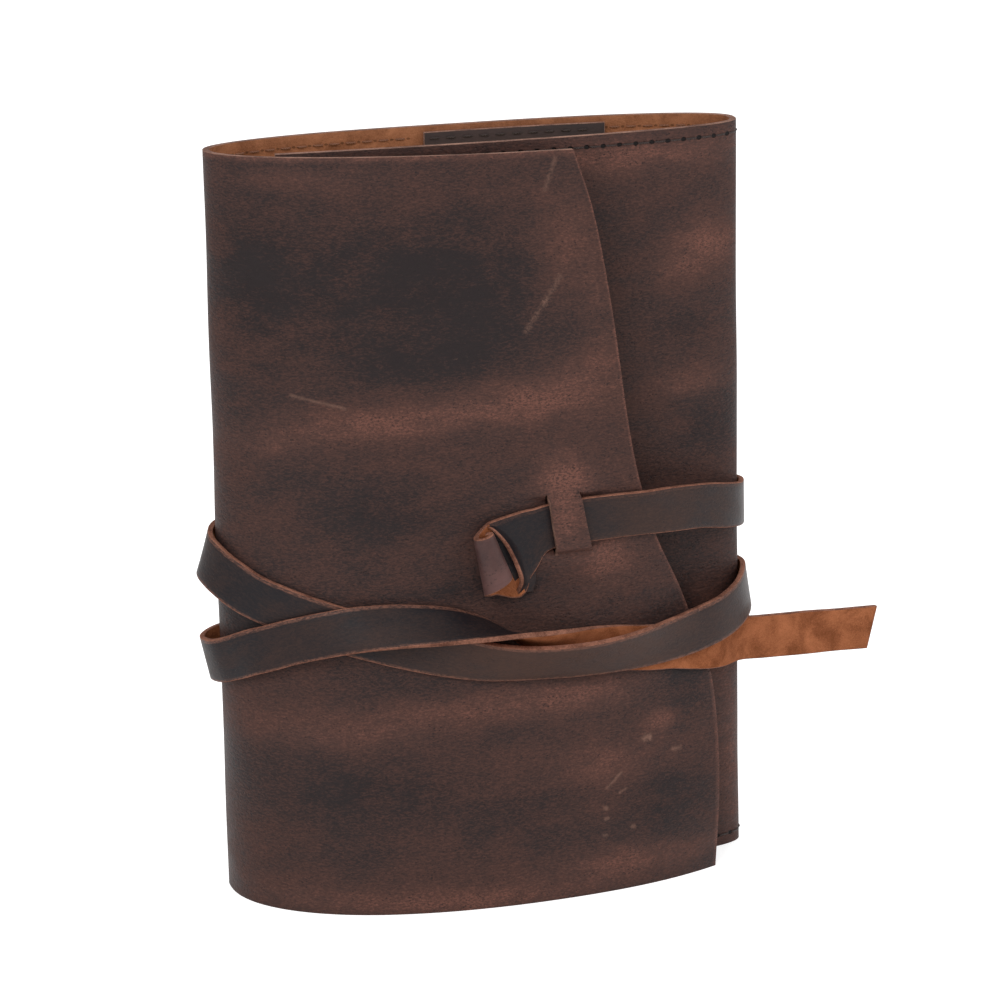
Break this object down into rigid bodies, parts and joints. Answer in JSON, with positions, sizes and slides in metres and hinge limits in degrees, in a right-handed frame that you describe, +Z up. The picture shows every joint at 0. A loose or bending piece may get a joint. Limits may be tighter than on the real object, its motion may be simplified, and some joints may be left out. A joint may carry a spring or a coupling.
{
  "type": "leather travel notebook",
  "caption": "Refillable leather travel notebook with a wrap-over flap, closed by a long leather strap with a rolled toggle, standing on its lower edges.",
  "frame": {"origin": "foot of the fore-edge fold, in the middle of the leather's thickness, on the plane that the notebook stands on", "axes": "+X from the fore-edge fold to the spine, +Y from the flap side to the back, +Z up"},
  "size_m": [0.2113, 0.0666, 0.225],
  "materials": {
    "cover_leather": "oiled pull-up leather, worn, satin",
    "strap_leather": "oiled leather, dark, raw cut edges",
    "pocket_leather": "thin dark leather, satin",
    "thread": "waxed thread",
    "kraft_card": "uncoated card",
    "paper": "uncoated paper"
  },
  "bodies": {
    "root": {"cover": "cover_leather", "strap": "strap_leather", "front_pocket": "pocket_leather", "back_pocket": "pocket_leather", "top_seam": "thread", "bottom_seam": "thread", "refill_cover": "kraft_card", "refill_pages": "paper"}
  },
  "joints": []
}
